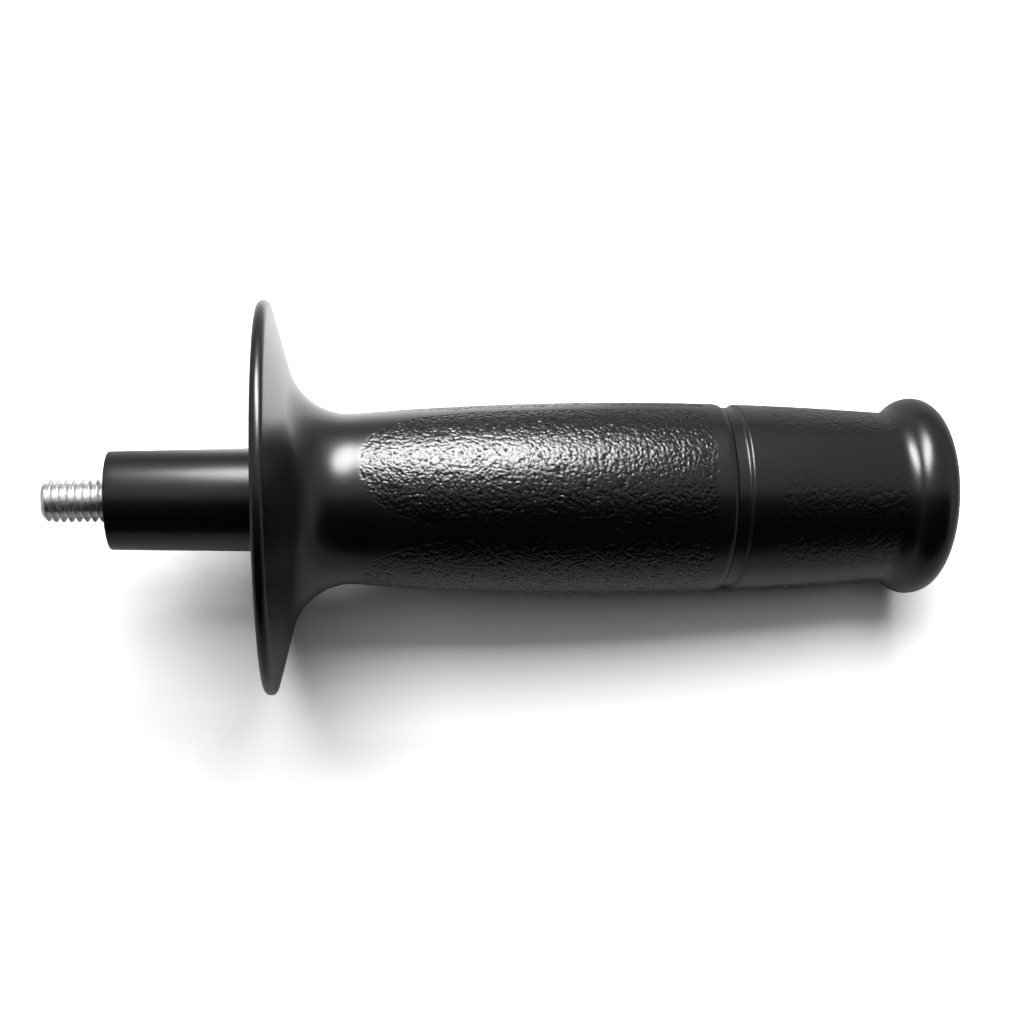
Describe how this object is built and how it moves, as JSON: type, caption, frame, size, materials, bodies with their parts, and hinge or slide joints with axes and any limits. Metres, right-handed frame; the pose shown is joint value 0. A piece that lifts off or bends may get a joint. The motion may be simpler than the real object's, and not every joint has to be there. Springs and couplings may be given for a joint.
{
  "type": "angle grinder side handle",
  "caption": "Auxiliary side handle with a threaded stud, a round neck, a hand guard disc and a barrel grip that ends in a rounded bulb.",
  "frame": {"origin": "centre of the neck's flat front shoulder, on the handle's axis", "axes": "+X along the handle's axis from the stud to the bulb end, so the stud points to -X. The handle is round, so +Z is any direction square to it."},
  "size_m": [0.1701, 0.0736, 0.0736],
  "materials": {
    "black_nylon": "satin moulded skin with a leather-like grain on the grip",
    "zinc_steel": "bright zinc plated"
  },
  "bodies": {
    "root": {"handle_body": "black_nylon", "stud_bolt": "zinc_steel", "end_cap": "black_nylon"}
  },
  "joints": []
}
